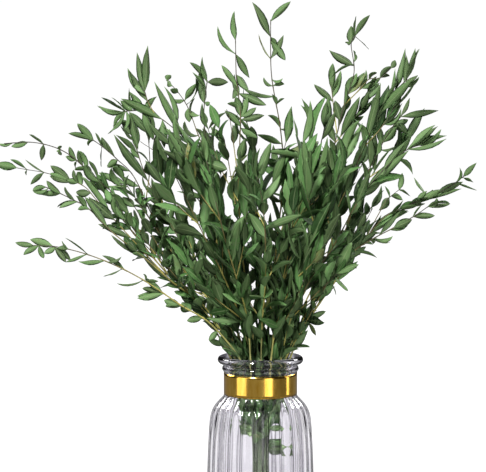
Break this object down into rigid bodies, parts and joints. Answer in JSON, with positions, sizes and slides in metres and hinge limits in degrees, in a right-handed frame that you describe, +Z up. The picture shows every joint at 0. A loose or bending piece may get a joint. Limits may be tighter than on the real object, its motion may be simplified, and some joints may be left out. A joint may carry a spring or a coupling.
{
  "type": "eucalyptus branches in a ribbed glass vase",
  "caption": "Cut willow eucalyptus branches fanning out of a clear ribbed glass bottle vase with a rolled lip and a plain gold ribbon round its neck.",
  "frame": {"origin": "centre of the vase's flat foot", "axes": "+Z up along the vase's axis, +X to the viewer's right, +Y away from the viewer"},
  "size_m": [0.4797, 0.2952, 0.5448],
  "materials": {
    "glass": "clear, faintly tinted",
    "ribbon": "metallic gold satin",
    "foliage": "matt grey-green leaves",
    "stem": "golden olive bark"
  },
  "bodies": {
    "root": {"vase": "glass", "neck_ribbon": "ribbon", "branch_01": "foliage", "branch_02": "foliage", "branch_03": "foliage", "branch_04": "foliage", "branch_05": "foliage", "branch_06": "foliage", "branch_07": "foliage", "branch_08": "foliage", "branch_09": "foliage", "branch_10": "foliage", "branch_11": "foliage", "branch_12": "foliage", "branch_13": "foliage", "branch_14": "foliage", "branch_15": "foliage", "branch_16": "foliage", "branch_17": "foliage", "branch_18": "foliage", "branch_19": "foliage", "branch_20": "foliage", "branch_21": "foliage", "branch_22": "foliage", "branch_23": "foliage", "branch_24": "foliage", "branch_25": "foliage", "branch_26": "foliage"}
  },
  "joints": []
}
